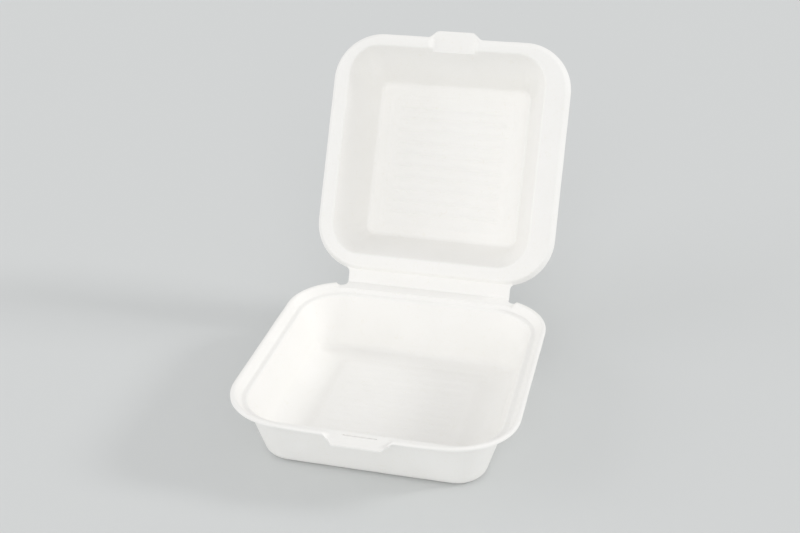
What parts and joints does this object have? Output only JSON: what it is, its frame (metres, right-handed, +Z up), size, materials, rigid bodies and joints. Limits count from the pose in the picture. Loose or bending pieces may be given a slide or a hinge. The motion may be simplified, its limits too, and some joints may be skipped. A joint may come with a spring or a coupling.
{
  "type": "bagasse burger box",
  "caption": "Square clamshell food box of moulded plant pulp, standing open: drafted tray with a stepped rim and front tab, and a ribbed lid on a crease hinge.",
  "frame": {"origin": "middle of the base's resting face, on the table", "axes": "+Z up, +Y from the front tab towards the hinge, +X to the right seen from the front"},
  "size_m": [0.152, 0.252, 0.1702],
  "materials": {
    "pulp": "matte pressed pulp, bleached white"
  },
  "bodies": {
    "base": {"base_tray": "pulp"},
    "lid": {"lid": "pulp"}
  },
  "joints": [
    {"name": "lid_fold", "type": "hinge", "parent": "base", "child": "lid", "pos_m": [0, 0.08, 0.034], "axis": [-1, 0, 0], "range_deg": [-119.2, 60.8]}
  ]
}
